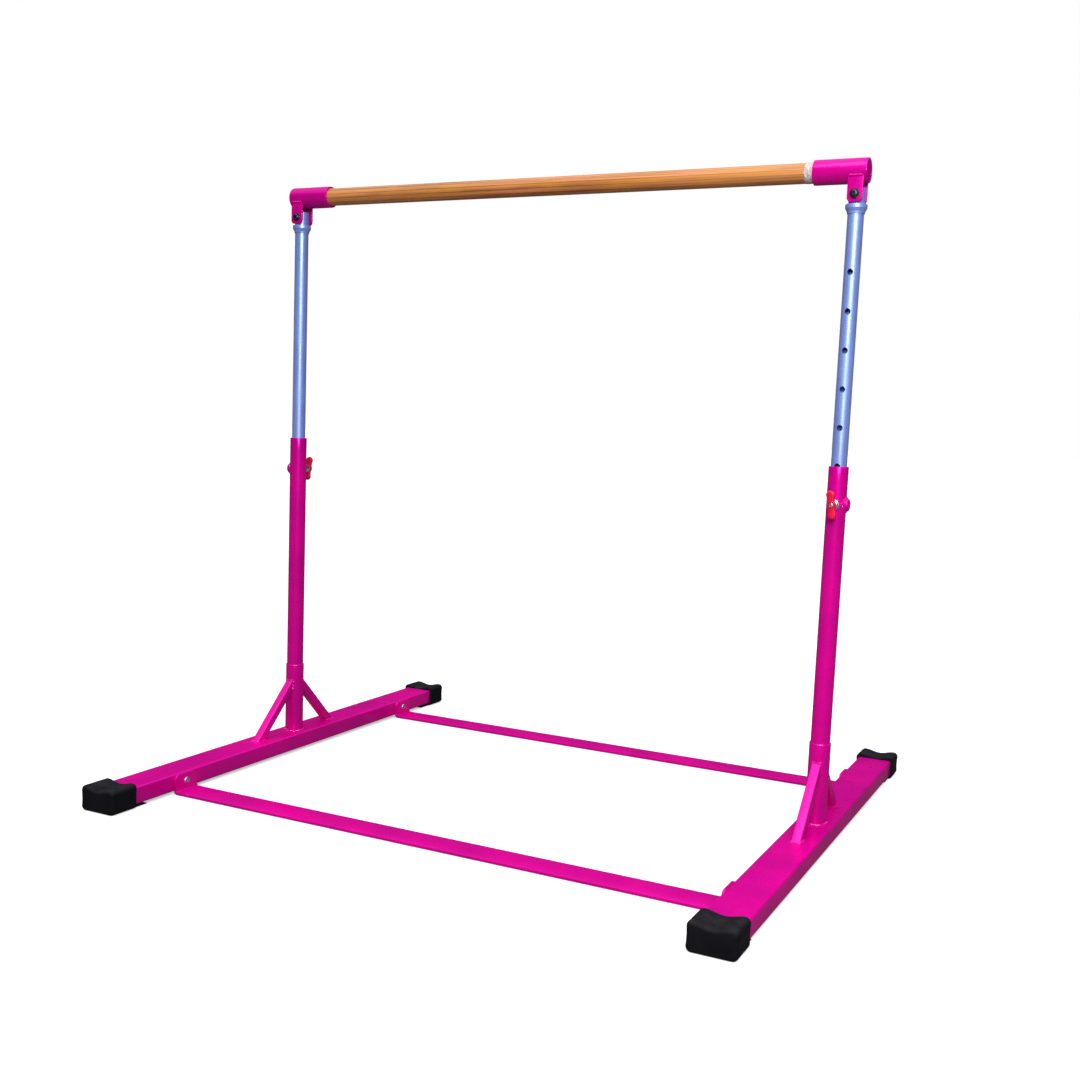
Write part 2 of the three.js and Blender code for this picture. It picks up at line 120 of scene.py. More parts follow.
CROSS_BOLT = {
    "radius": 4 * MM, "head": 8 * MM, "height": 4.6 * MM, "length": 20 * MM,
    "key": 4.8 * MM, "pitch": 1.25 * MM,
}
CLEVIS_BOLT = {
    "radius": 5 * MM, "head": 8.2 * MM, "height": 5.2 * MM, "key": 6 * MM, "pitch": 1.5 * MM,
}
CROSS_NUT = {"across_flats": 13 * MM, "height": 6.5 * MM, "bore": 4.05 * MM}
CLEVIS_NUT = {"across_flats": 17 * MM, "height": 8.8 * MM, "bore": 5.05 * MM}
KNOB_NUT = {"across_flats": 8 * MM, "height": 3.5 * MM, "bore": SHANK_HOLE}
SEAT_GAP = 0.1 * MM  # between a fastener and the face it sits on

ROUND = 96  # steps round a tube
SMALL_ROUND = 48  # steps round a bolt or a boss
CUTTER = 50 * MM  # how far a cutter reaches, more than any piece it cuts through


# ---- mesh tools
def put_in_scene(name, data):
    made = bpy.data.objects.new(name, data)
    bpy.context.scene.collection.objects.link(made)
    return made


def make_object(name, points, faces):
    mesh = bpy.data.meshes.new(name)
    mesh.from_pydata([tuple(p) for p in points], [], faces)
    shape = bmesh.new()
    shape.from_mesh(mesh)
    bmesh.ops.remove_doubles(shape, verts=shape.verts, dist=1e-7)
    bmesh.ops.recalc_face_normals(shape, faces=shape.faces)
    shape.to_mesh(mesh)
    shape.free()
    return put_in_scene(name, mesh)


def loft(name, rings, closed=False):
    """A skin over rings of equally many points, capped at its ends unless it closes on itself."""
    count = len(rings[0])
    points = [p for ring in rings for p in ring]
    faces = []
    spans = len(rings) if closed else len(rings) - 1
    for i in range(spans):
        a, b = i * count, ((i + 1) % len(rings)) * count
        for j in range(count):
            k = (j + 1) % count
            faces.append((a + j, a + k, b + k, b + j))
    if not closed:
        faces.append(tuple(range(count)))
        faces.append(tuple(range((len(rings) - 1) * count, len(rings) * count)))
    return make_object(name, points, faces)


def fillet(corners, radius, steps=5):
    """A closed outline with round corners. The radius is one number, or one for each corner."""
    outline = []
    for i, corner in enumerate(corners):
        bend = radius[i] if isinstance(radius, (list, tuple)) else radius
        here = Vector(corner)
        back = Vector(corners[i - 1]) - here
        ahead = Vector(corners[(i + 1) % len(corners)]) - here
        if bend <= 0:
            outline.append(here)
            continue
        half = back.angle(ahead) / 2
        reach = min(bend / math.tan(half), 0.49 * back.length, 0.49 * ahead.length)
        centre = here + (back.normalized() + ahead.normalized()).normalized() * reach / math.cos(half)
        start = here + back.normalized() * reach - centre
        end = here + ahead.normalized() * reach - centre
        turn = start.angle_signed(end)
        for step in range(steps + 1):
            outline.append(centre + Matrix.Rotation(-turn * step / steps, 2) @ start)
    return outline


def rectangle(width, height):
    x, y = width / 2, height / 2
    return [(x, -y), (x, y), (-x, y), (-x, -y)]


def circle(radius, steps=SMALL_ROUND):
    turns = (2 * math.pi * i / steps for i in range(steps))
    return [Vector((radius * math.cos(a), radius * math.sin(a))) for a in turns]


AXES = {
    "X": lambda a, b, along: Vector((along, a, b)),
    "Y": lambda a, b, along: Vector((a, along, b)),
    "Z": lambda a, b, along: Vector((a, b, along)),
}


def ring(outline, along, axis):
    return [AXES[axis](p[0], p[1], along) for p in outline]


def prism(name, outline, start, end, axis):
    return loft(name, [ring(outline, start, axis), ring(outline, end, axis)])


def tube(name, outer, inner, start, end, axis):
    """A straight tube between two outlines with equally many points."""
    rings = [ring(outer, start, axis), ring(outer, end, axis)]
    return loft(name, rings + [ring(inner, end, axis), ring(inner, start, axis)], closed=True)


def revolve(name, profile, axis="Z", steps=ROUND):
    """An outline of (radius, along) points turned round an axis through the local origin."""
    rings = []
    for i in range(steps):
        angle = 2 * math.pi * i / steps
        turn = (math.cos(angle), math.sin(angle))
        rings.append([AXES[axis](r * turn[0], r * turn[1], along) for r, along in profile])
    count = len(profile)
    points = [p for one in rings for p in one]
    faces = []
    for i in range(steps):
        a, b = i * count, ((i + 1) % steps) * count
        for j in range(count):
            k = (j + 1) % count
            if profile[j][0] < 1e-9 and profile[k][0] < 1e-9:
                continue
            faces.append((a + j, a + k, b + k, b + j))
    return make_object(name, points, faces)


def round_tube(name, outer, inner, start, end, lip, cuts=1, steps=ROUND):
    """An upright tube with rounded rims, cut into rings along its length."""
    corners = [(outer, start), (outer, end), (inner, end), (inner, start)]
    profile = [tuple(p) for p in fillet(corners, lip, 3)]
    outer_side = [(outer, start + (end - start) * i / cuts) for i in range(1, cuts)]
    place = 4  # the outer side runs after the first corner's four points
    return revolve(name, profile[:place] + outer_side + profile[place:], "Z", steps)


def sweep(name, path, radii, closed=True, sides=8):
    """A round section carried along a path, with a radius for each of its points."""
    count = len(path)
    rings = []
    lead = None
    for i, here in enumerate(path):
        ahead = path[(i + 1) % count] if closed or i + 1 < count else here
        behind = path[i - 1] if closed or i > 0 else here
        along = (ahead - behind).normalized()
        if lead is None:
            lead = along.orthogonal().normalized()
        lead = (lead - along * lead.dot(along)).normalized()
        side = along.cross(lead)
        angles = (2 * math.pi * k / sides for k in range(sides))
        rings.append([here + radii[i] * (math.cos(a) * lead + math.sin(a) * side) for a in angles])
    return loft(name, rings, closed)


def resample(path, step, closed=True):
    """Points at even distances along a path."""
    line = list(path) + ([path[0]] if closed else [])
    lengths = [(line[i + 1] - line[i]).length for i in range(len(line) - 1)]
    total = sum(lengths)
    count = max(3, round(total / step))
    spots = []
    i, passed = 0, 0.0
    for k in range(count if closed else count + 1):
        wanted = total * k / count
        while i < len(lengths) - 1 and passed + lengths[i] < wanted:
            passed += lengths[i]
            i += 1
        share = (wanted - passed) / max(lengths[i], 1e-9)
        spots.append(line[i].lerp(line[i + 1], min(max(share, 0), 1)))
    return spots


def weld(name, path, radius, closed=True):
    """A weld bead with the overlapping ripples of one pass."""
    step, ripple = 0.7 * MM, 2.6 * MM
    spots = resample(path, step, closed)
    radii = []
    for i in range(len(spots)):
        s = i * step
        wave = abs(math.sin(math.pi * s / ripple))
        drift = math.sin(s * 210) * math.sin(s * 97 + 1)
        radii.append(radius * (0.88 + 0.2 * wave + 0.1 * drift))
    if not closed:
        for i in range(4):
            share = math.sqrt((i + 0.4) / 4.4)
            radii[i] *= share
            radii[-1 - i] *= share
    return sweep(name, spots, radii, closed)


def apply_modifiers(made):
    bpy.context.view_layer.update()
    graph = bpy.context.evaluated_depsgraph_get()
    mesh = bpy.data.meshes.new_from_object(made.evaluated_get(graph))
    made.modifiers.clear()
    made.data = mesh


def combine(made, operation, others):
    for other in others:
        change = made.modifiers.new("combine", "BOOLEAN")
        change.operation = operation
        change.solver = "EXACT"
        change.object = other
    apply_modifiers(made)
    for other in others:
        bpy.data.objects.remove(other, do_unlink=True)
    return made


def cut(made, *others):
    return combine(made, "DIFFERENCE", others)


def add(made, *others):
    return combine(made, "UNION", others)


def bevel(made, width, angle=40):
    change = made.modifiers.new("bevel", "BEVEL")
    change.width = width
    change.segments = 3
    change.limit_method = "ANGLE"
    change.angle_limit = math.radians(angle)
    apply_modifiers(made)
    return made


def move(made, matrix):
    made.data.transform(matrix)
    return made


def shift(made, x=0.0, y=0.0, z=0.0):
    return move(made, Matrix.Translation((x, y, z)))


SHARP_ANGLE = math.radians(35)


def smooth(made):
    """Smooth shading with sharp edges where two faces meet at more than SHARP_ANGLE."""
    shape = bmesh.new()
    shape.from_mesh(made.data)
    for face in shape.faces:
        face.smooth = True
    for edge in shape.edges:
        if len(edge.link_faces) == 2 and edge.calc_face_angle(0) > SHARP_ANGLE:
            edge.smooth = False
    shape.to_mesh(made.data)
    shape.free()


# ---- materials
class Nodes:
    """A material's node tree with short ways to add to it."""

    def __init__(self, name):
        self.material = bpy.data.materials.new(name)
        self.material.use_nodes = True
        self.tree = self.material.node_tree
        self.shader = self.tree.nodes["Principled BSDF"]
        self.place = self.add("ShaderNodeTexCoord").outputs["Object"]

    def add(self, kind, **values):
        made = self.tree.nodes.new(kind)
        for key, value in values.items():
            setattr(made, key, value)
        return made

    def link(self, source, target):
        self.tree.links.new(source, target)

    def set(self, **values):
        for key, value in values.items():
            self.shader.inputs[key.replace("_", " ")].default_value = value

    def stretched(self, scale):
        made = self.add("ShaderNodeMapping")
        made.inputs["Scale"].default_value = scale
        self.link(self.place, made.inputs["Vector"])
        return made.outputs["Vector"]

    def noise(self, scale, detail=3.0, roughness=0.5, stretch=None):
        made = self.add("ShaderNodeTexNoise")
        made.inputs["Scale"].default_value = scale
        made.inputs["Detail"].default_value = detail
        made.inputs["Roughness"].default_value = roughness
        self.link(self.stretched(stretch) if stretch else self.place, made.inputs["Vector"])
        return made.outputs["Fac"]

    def between(self, value, low, high, start=0.0, end=1.0):
        made = self.add("ShaderNodeMapRange")
        settings = {"From Min": low, "From Max": high, "To Min": start, "To Max": end}
        for key, number in settings.items():
            made.inputs[key].default_value = number
        self.link(value, made.inputs["Value"])
        return made.outputs["Result"]

    def mix(self, share, a, b):
        made = self.add("ShaderNodeMix", data_type="RGBA")
        self.link(share, made.inputs["Factor"])
        for socket, value in (("A", a), ("B", b)):
            target = [i for i in made.inputs if i.name == socket and i.type == "RGBA"][0]
            if isinstance(value, tuple):
                target.default_value = (*value, 1)
            else:
                self.link(value, target)
        return [o for o in made.outputs if o.type == "RGBA"][0]

    def times(self, a, b):
        made = self.add("ShaderNodeMath", operation="MULTIPLY")
        self.link(a, made.inputs[0])
        self.link(b, made.inputs[1])
        return made.outputs[0]

    def bump(self, height, distance, strength=1.0, under=None):
        made = self.add("ShaderNodeBump")
        made.inputs["Distance"].default_value = distance
        made.inputs["Strength"].default_value = strength
        self.link(height, made.inputs["Height"])
        if under is not None:
            self.link(under, made.inputs["Normal"])
        return made.outputs["Normal"]

    def color(self, value):
        self.link(value, self.shader.inputs["Base Color"])

    def rough(self, value):
        self.link(value, self.shader.inputs["Roughness"])

    def normal(self, value):
        self.link(value, self.shader.inputs["Normal"])


def powder_coat(name="powder_coat", gloss=0.3, haze=0.2):
    """Gloss magenta powder coat: orange peel and fine sparkle grain."""
    m = Nodes(name)
    m.set(Specular_IOR_Level=0.0, Specular_Tint=(1.0, 0.05, 0.55, 1), Metallic=0.3)
    m.set(Coat_Weight=gloss, Coat_Roughness=haze)
    drift = m.noise(7, 4)
    grain = m.noise(700, 2, 0.7)
    tone = m.mix(m.between(drift, 0.35, 0.65), (0.68, 0.0004, 0.29), (0.94, 0.0008, 0.35))
    grained = m.mix(m.between(grain, 0.40, 0.62, 0.6, 0), tone, (0.46, 0.0003, 0.24))
    sparkle = m.between(grain, 0.60, 0.78, 0, 0.55)
    m.color(m.mix(sparkle, grained, (1.0, 0.012, 0.55)))
    m.rough(m.between(m.noise(35, 5, 0.6), 0.3, 0.7, 0.24, 0.36))
    peel = m.bump(m.noise(420, 2), 0.14 * MM, 0.55)
    m.normal(m.bump(grain, 0.03 * MM, 0.4, peel))
    return m.material


def zinc_tube():
    """Blue-passivated zinc: fine spangle, drawn lines along the tube and dull patches."""
    m = Nodes("zinc_tube")
    m.set(Metallic=0.6, Specular_IOR_Level=0.05)
    lines = m.noise(9, 5, 0.6, (60, 60, 1.5))
    spangle = m.noise(620, 2, 0.6)
    tone = m.mix(m.between(lines, 0.3, 0.7), (0.22, 0.34, 0.90), (0.32, 0.46, 1.0))
    m.color(m.mix(m.between(spangle, 0.45, 0.75, 0, 0.5), tone, (0.62, 0.72, 1.0)))
    m.rough(m.between(m.noise(14, 4), 0.3, 0.7, 0.36, 0.5))
    m.normal(m.bump(spangle, 0.03 * MM, 0.5, m.bump(lines, 0.05 * MM, 0.35)))
    return m.material


def bar_wood():
    """Varnished laminated hardwood with its grain along the bar."""
    m = Nodes("bar_wood")
    m.set(Specular_IOR_Level=0.4, Coat_Weight=0.18, Coat_Roughness=0.25)
    bend = m.noise(1.6, 2, 0.5, (1, 8, 8))
    grain = m.noise(1, 7, 0.62, (2.2, 170, 170))
    fine = m.noise(1, 4, 0.6, (14, 900, 900))
    pores = m.noise(1, 3, 0.7, (45, 1500, 1500))
    plies = m.add("ShaderNodeTexWave", wave_type="BANDS", bands_direction="Z")
    plies.inputs["Scale"].default_value = 34
    plies.inputs["Distortion"].default_value = 1.2
    plies.inputs["Detail"].default_value = 2
    m.link(m.stretched((0.06, 1, 1)), plies.inputs["Vector"])
    tone = m.mix(m.between(grain, 0.34, 0.66), (0.17, 0.060, 0.014), (0.76, 0.29, 0.072))
    gold = m.noise(1, 3, 0.55, (9, 70, 70))
    tone = m.mix(m.between(gold, 0.48, 0.66, 0, 0.7), tone, (0.60, 0.245, 0.028))
    blush = m.noise(1, 3, 0.55, (5, 110, 110))
    tone = m.mix(m.between(blush, 0.54, 0.68, 0, 0.5), tone, (0.80, 0.26, 0.13))
    tone = m.mix(m.between(fine, 0.5, 0.75, 0, 0.45), tone, (0.27, 0.09, 0.025))
    tone = m.mix(m.between(plies.outputs["Fac"], 0.86, 1.0, 0, 0.6), tone, (0.13, 0.045, 0.015))
    tone = m.mix(m.between(bend, 0.35, 0.7, 0, 0.3), tone, (0.92, 0.42, 0.13))
    tone = m.mix(m.between(pores, 0.62, 0.72, 0, 0.6), tone, (0.13, 0.045, 0.015))
    m.color(tone)
    m.rough(m.between(grain, 0.3, 0.7, 0.50, 0.36))
    m.normal(m.bump(pores, 0.08 * MM, -0.5, m.bump(grain, 0.12 * MM, 0.5)))
    return m.material


def boot_rubber():
    """Matt black moulded rubber, with a fine texture; upward faces painted lighter, partly dust and
    partly painted light from above.
    """
    m = Nodes("boot_rubber")
    m.set(Specular_IOR_Level=0.1)
    up = m.add("ShaderNodeSeparateXYZ")
    m.link(m.add("ShaderNodeNewGeometry").outputs["Normal"], up.inputs[0])
    # painted light: upward faces are lightened in patches, part dust and part painted light falling from
    # above
    dust_and_top_light = m.times(m.between(up.outputs["Z"], 0.2, 1), m.between(m.noise(45, 5), 0.3, 0.7))
    cloud = m.between(m.noise(25, 4), 0.3, 0.7)
    base = m.mix(cloud, (0.0030, 0.0031, 0.0050), (0.0058, 0.0056, 0.0082))
    m.color(m.mix(dust_and_top_light, base, (0.018, 0.016, 0.020)))
    m.rough(m.between(m.noise(60, 4), 0.3, 0.7, 0.62, 0.82))
    m.normal(m.bump(m.noise(1100, 3, 0.6), 0.12 * MM, 0.7))
    return m.material


def bright_steel():
    """Zinc-plated fasteners: near mirror, with fine turning marks and small stains."""
    m = Nodes("bright_steel")
    m.set(Metallic=1.0)
    marks = m.noise(1700, 2, 0.6)
    stains = m.noise(120, 4)
    m.color(m.mix(m.between(stains, 0.45, 0.75), (0.70, 0.71, 0.76), (0.42, 0.41, 0.44)))
    m.rough(m.between(stains, 0.35, 0.7, 0.20, 0.42))
    m.normal(m.bump(marks, 0.02 * MM, 0.4))
    return m.material


def dark_steel():
    """Blackened clevis hardware, rubbed bright in places."""
    m = Nodes("dark_steel")
    m.set(Metallic=0.85)
    rub = m.noise(150, 5, 0.6)
    m.color(m.mix(m.between(rub, 0.56, 0.75), (0.045, 0.04, 0.06), (0.30, 0.28, 0.36)))
    m.rough(m.between(rub, 0.3, 0.7, 0.42, 0.26))
    m.normal(m.bump(m.noise(1500, 2), 0.02 * MM, 0.4))
    return m.material


def knob_plastic():
    """Red moulded plastic with a fine spark-eroded texture."""
    m = Nodes("knob_plastic")
    m.set(Specular_IOR_Level=0.3)
    tone = m.noise(70, 4)
    m.color(m.mix(m.between(tone, 0.35, 0.7), (0.60, 0.002, 0.034), (0.84, 0.004, 0.075)))
    m.rough(m.between(tone, 0.3, 0.7, 0.30, 0.42))
    m.normal(m.bump(m.noise(1400, 2), 0.05 * MM, 0.5))
    return m.material


def clear_tape():
    """Milky, slightly crinkled adhesive tape."""
    m = Nodes("clear_tape")
    m.set(Specular_IOR_Level=0.6)
    cloud = m.noise(300, 5, 0.65, (1, 1, 0.25))
    m.color(m.mix(m.between(cloud, 0.3, 0.7), (0.60, 0.46, 0.44), (0.92, 0.87, 0.88)))
    m.link(m.between(cloud, 0.35, 0.62, 0.22, 0.85), m.shader.inputs["Alpha"])
    m.rough(m.between(cloud, 0.3, 0.7, 0.22, 0.5))
    m.normal(m.bump(m.noise(420, 3), 0.15 * MM, 0.8))
    return m.material


MATERIALS = {
    "frame_paint": powder_coat(),
    "upright_zinc": zinc_tube(),
    "bar_wood": bar_wood(),
    "boot_rubber": boot_rubber(),
    "fastener_steel": bright_steel(),
    "knob_plastic": knob_plastic(),
    "clear_tape": clear_tape(),
}
DARK_STEEL = dark_steel()
WELD_PAINT = powder_coat("weld_paint", 1.0, 0.08)  # the coat pools glossy on the beads


# ---- placing a piece
def keep(made, slot, node, material=None, body=None):
    """Finishes a piece: shading, material, the body it rides on and the CAD node it stands for."""
    smooth(made)
    made.data.materials.clear()
    made.data.materials.append(material or MATERIALS[slot])
    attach(made, body or NODE_BODY[node])
    if node and not body:
        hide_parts(node)
    return made


class Side:
    """One side frame: where it stands and how its local frame is turned."""

    def __init__(self, name):
        self.name = name
        self.is_left = name == "left"
        turn = Matrix.Rotation(math.pi, 4, "Z") if self.is_left else Matrix.Identity(4)
        self.matrix = Matrix.Translation((-POST_X if self.is_left else POST_X, 0, 0)) @ turn
        near, far = ("rear", "front") if self.is_left else ("front", "rear")
        self.ends = ((near, 0.0), (far, math.pi))
        self.front = 1 if self.is_left else -1  # the local Y direction of the object's front

    def put(self, made, slot, node, turn=0.0, material=None):
        made.name = f"{node}_{self.name}"
        made.data.name = made.name
        move(made, self.matrix @ Matrix.Rotation(turn, 4, "Z"))
        return keep(made, slot, f"{node}_{self.name}", material)

    def put_weld(self, made, label, body, turn=0.0, material=None):
        made.name = f"weld_{label}_{self.name}"
        move(made, self.matrix @ Matrix.Rotation(turn, 4, "Z"))
        return keep(made, "frame_paint", None, material or WELD_PAINT, body)


# ---- side frame
def rail():
    outer = fillet(rectangle(RAIL_WIDTH, RAIL_HEIGHT), RAIL_CORNER, 8)
    inner_size = (RAIL_WIDTH - 2 * RAIL_WALL, RAIL_HEIGHT - 2 * RAIL_WALL)
    inner = fillet(rectangle(*inner_size), RAIL_CORNER - RAIL_WALL / 2, 8)
    made = shift(tube("rail", outer, inner, RAIL_LOW.y, RAIL_HIGH.y, "Y"), z=RAIL_MID)
    drills = []
    for y in (-CROSS_Y, CROSS_Y):
        drill = prism("drill", circle(CROSS_HOLE), -RAIL_WIDTH, 0, "X")
        drills.append(shift(drill, y=y, z=RAIL_MID))
    return cut(made, *drills)


def boot_ring(width, height, corner, saddle, waist, base, arc=8, side=11):
    """The boot's outline: round corners, hollow top and sides, flat bottom. X and Z."""
    x, foot = width / 2, corner
    places = (
        ((x - foot, base + foot), foot, -0.5, 0.0),
        ((x - corner, base + height - corner), corner, 0.0, 0.5),
        ((-x + corner, base + height - corner), corner, 0.5, 1.0),
        ((-x + foot, base + foot), foot, 1.0, 1.5),
    )
    sag = (Vector((-waist, 0)), Vector((0, -saddle)), Vector((waist, 0)), Vector((0, 0)))
    outline = []
    for i, (centre, radius, start, end) in enumerate(places):
        for step in range(arc + 1):
            angle = math.pi * (start + (end - start) * step / arc)
            outline.append(Vector(centre) + radius * Vector((math.cos(angle), math.sin(angle))))
        following, next_radius, next_start, _ = places[(i + 1) % 4]
        angle = math.pi * next_start
        goal = Vector(following) + next_radius * Vector((math.cos(angle), math.sin(angle)))
        begin = outline[-1].copy()
        for step in range(1, side):
            share = step / side
            dip = math.sin(math.pi * share) ** 2 if i == 1 else 4 * share * (1 - share)
            outline.append(begin.lerp(goal, share) + sag[i] * dip)
    return outline


BOOT = {
    "length": 68 * MM, "corner": 10 * MM, "saddle": 6 * MM, "waist": 0.8 * MM,
    "round": 8 * MM, "lip": 1.6 * MM,
}
SOLE = {"overlap": 12 * MM, "lift": 0.3 * MM, "edge": 2 * MM, "half_width": 36 * MM}


def boot():
    """Moulded boot on the rail's -Y end, its outer edge rounded, with the rail's pocket in it."""
    low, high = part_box("end_boot_front_right")
    width, height, end = high.x - low.x, high.z - low.z, low.y
    mouth = end + BOOT["length"]
    rings = []

    def outline(inset, along):
        corner = max(BOOT["corner"] - inset * 0.5, 2 * MM)
        size = (width - 2 * inset, height - 1.6 * inset)
        section = boot_ring(*size, corner, BOOT["saddle"], BOOT["waist"], 0.6 * inset)
        rings.append(ring(section, along, "Y"))

    steps = 7
    for i in range(steps + 1):
        angle = math.pi / 2 * i / steps
        outline(BOOT["round"] * (1 - math.sin(angle)), end + BOOT["round"] * (1 - math.cos(angle)))
    for share in (0.35, 0.7):
        outline(0, end + BOOT["round"] + share * (mouth - end - 2 * BOOT["round"]))
    for i in range(4):
        angle = math.pi / 2 * i / 3
        outline(BOOT["lip"] * (1 - math.cos(angle)), mouth - BOOT["lip"] * (1 - math.sin(angle)))
    play = 0.25 * MM
    pocket = boot_ring(
        RAIL_WIDTH + 2 * play, RAIL_HEIGHT + 2 * play, RAIL_CORNER, 0, 0, RAIL_LOW.z - play,
    )
    rings.append(ring(pocket, mouth - 0.4 * MM, "Y"))
    rings.append(ring(pocket, RAIL_LOW.y - play, "Y"))
    made = loft("boot", rings)
    back = mouth - SOLE["overlap"]
    sole = [
        (back, SOLE["lift"]), (high.y, SOLE["lift"]), (high.y, SOLE["edge"]),
        (mouth, RAIL_LOW.z - play), (back, RAIL_LOW.z - play),
    ]
    profile = fillet(sole, [0, 0.6 * MM, 0.6 * MM, 0, 0], 3)
    return add(made, prism("sole", profile, -SOLE["half_width"], SOLE["half_width"], "X"))


def brace():
    """Square tube at 45 degrees on the -Y side, cut to the post and to the rail's top."""
    outer = fillet(rectangle(BRACE_SIZE, BRACE_SIZE), BRACE_CORNER, 5)
    hollow = BRACE_SIZE - 2 * BRACE_WALL
    inner = fillet(rectangle(hollow, hollow), BRACE_CORNER - BRACE_WALL / 2, 5)
    made = tube("brace", outer, inner, 0, 1.6 * BRACE_REACH, "Z")
    move(made, Matrix.Rotation(-math.pi / 4, 4, "X"))
    foot = BRACE_REACH - RAIL_TOP + BRACE_SIZE
    shift(made, y=-foot, z=RAIL_TOP - BRACE_SIZE)
    bite = 0.4 * MM
    post = prism("post", circle(STUB_RADIUS - bite, ROUND), 0, 2 * BRACE_REACH, "Z")
    wide, deep, tall = 100 * MM, 400 * MM, 600 * MM  # cutters past the post and under the rail
    beyond = prism("beyond", rectangle(wide, deep), 0, tall, "Z")
    below = prism("below", rectangle(wide, tall), -wide, RAIL_TOP - bite, "Z")
    return cut(made, shift(beyond, y=deep / 2), shift(below, y=-deep / 2), post)


def brace_outline():
    return [(p.x, p.y) for p in fillet(rectangle(BRACE_SIZE, BRACE_SIZE), BRACE_CORNER, 4)]


def brace_foot_weld():
    centre = BRACE_REACH - RAIL_TOP
    path = [Vector((x, y * math.sqrt(2) - centre, RAIL_TOP)) for x, y in brace_outline()]
    return weld("foot", path, 2.3 * MM)


def brace_post_weld():
    path = []
    for x, off in brace_outline():
        y = math.sqrt(STUB_RADIUS**2 - x * x)
        path.append(Vector((x, -y, BRACE_REACH + off * math.sqrt(2) - y)))
    return weld("post", path, 2.1 * MM)


def ring_weld(radius, z, bead):
    path = [Vector((p.x, p.y, z)) for p in circle(radius, ROUND)]
    return weld("ring", path, bead)


def boss_weld(radius, axis, bead):
    """The bead where a round boss meets the sleeve, on its -Y or +X side."""
    path = []
    for spot in circle(radius, SMALL_ROUND):
        depth = math.sqrt(SLEEVE_RADIUS**2 - spot.x**2)
        sideways = (spot.x, -depth) if axis == "Y" else (depth, spot.x)
        path.append(Vector((*sideways, LOCK_Z + spot.y)))
    return weld("boss", path, bead)


def bridge_weld():
    """A bead round the sleeve from the lock's boss to the side boss."""
    radius, z = SLEEVE_RADIUS + 0.4 * MM, LOCK_Z + 2 * MM
    start, sweep_angle, steps = -68, 48, 24  # degrees from the side boss's axis
    path = []
    for step in range(steps + 1):
        angle = math.radians(start + sweep_angle * step / steps)
        path.append(Vector((radius * math.cos(angle), radius * math.sin(angle), z)))
    return weld("bridge", path, 2.2 * MM, closed=False)


def sleeve():
    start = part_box("post_sleeve_right")[0].z
    made = round_tube("sleeve", SLEEVE_RADIUS, SLEEVE_RADIUS - SLEEVE_WALL, start, SLEEVE_TOP,
                      lip=0.8 * MM, cuts=24)
    drill = shift(prism("drill", circle(LOCK_HOLE), -2 * SLEEVE_RADIUS, 0, "Y"), z=LOCK_Z)
    return cut(made, drill)


def fit_to_sleeve(boss):
    """Cuts a boss to the sleeve's round side and lifts it to the lock's height."""
    sink = 0.5 * MM  # how far the boss reaches into the sleeve's wall
    post = prism("post", circle(SLEEVE_RADIUS - sink, ROUND), -CUTTER, CUTTER, "Z")
    return shift(cut(boss, post), z=LOCK_Z)


def lock_boss():
    """A stepped cup that houses the spring, with a cap round the pin's shank."""
    end, radius, step, cap = 34 * MM, 10 * MM, 27 * MM, 2.4 * MM
    foot = radius + 1.2 * MM
    root = SLEEVE_RADIUS - 5 * MM
    corners = [
        (LOCK_HOLE, -root), (foot, -root), (foot, -step), (radius, -step),
        (radius, -end), (SHANK_HOLE, -end), (SHANK_HOLE, -end + cap), (LOCK_HOLE, -end + cap),
    ]
    rounding = [0, 0, 0.8 * MM, 0.3 * MM, 1.4 * MM, 0.3 * MM, 0, 0]
    return fit_to_sleeve(revolve("boss", fillet(corners, rounding, 4), "Y", SMALL_ROUND))


def side_boss():
    """A round-nosed boss welded on the sleeve's outboard side, with a plain bore."""
    radius, bore, end = 13 * MM, 4.2 * MM, 26.5 * MM
    root = SLEEVE_RADIUS - 8 * MM
    corners = [(bore, root), (radius, root), (radius, end), (bore, end)]
    profile = fillet(corners, [0, 0, 6 * MM, 0.7 * MM], 7)
    return fit_to_sleeve(revolve("boss", profile, "X", SMALL_ROUND))


# ---- fasteners
def dome(radius, height, steps=8):
    """The profile of a button head from its rim to the axis."""
    rim = 0.22 * height
    points = [(radius, 0), (radius, rim)]
    for i in range(1, steps + 1):
        angle = math.pi / 2 * i / steps
        points.append((radius * math.cos(angle), rim + (height - rim) * math.sin(angle)))
    return points


def hexagon(across_flats):
    corner = across_flats / math.sqrt(3)
    angles = (i * math.pi / 3 for i in range(6))
    return [Vector((corner * math.cos(a), corner * math.sin(a))) for a in angles]


def threads(radius, start, end, pitch):
    """A bolt's thread as rings, from start down to end."""
    points = []
    count = int((start - end) / pitch)
    for i in range(count):
        z = start - i * pitch
        points += [(radius, z), (radius - 0.55 * pitch, z - pitch / 2)]
    points += [(radius, start - count * pitch), (radius - pitch / 2, end), (0, end)]
    return points


def button_bolt(radius, head, height, length, key, pitch):
    """Button-head bolt with a hex recess. Its head points to +Z, its underside at the origin."""
    plain = 4 * MM  # the shank under the head, before the thread
    thread = threads(radius, -plain, -length, pitch)
    profile = dome(head, height)[::-1] + [(radius, 0)] + thread
    made = revolve("bolt", profile, "Z", SMALL_ROUND)
    return cut(made, prism("key", hexagon(key), 0.3 * height, 2 * height, "Z"))


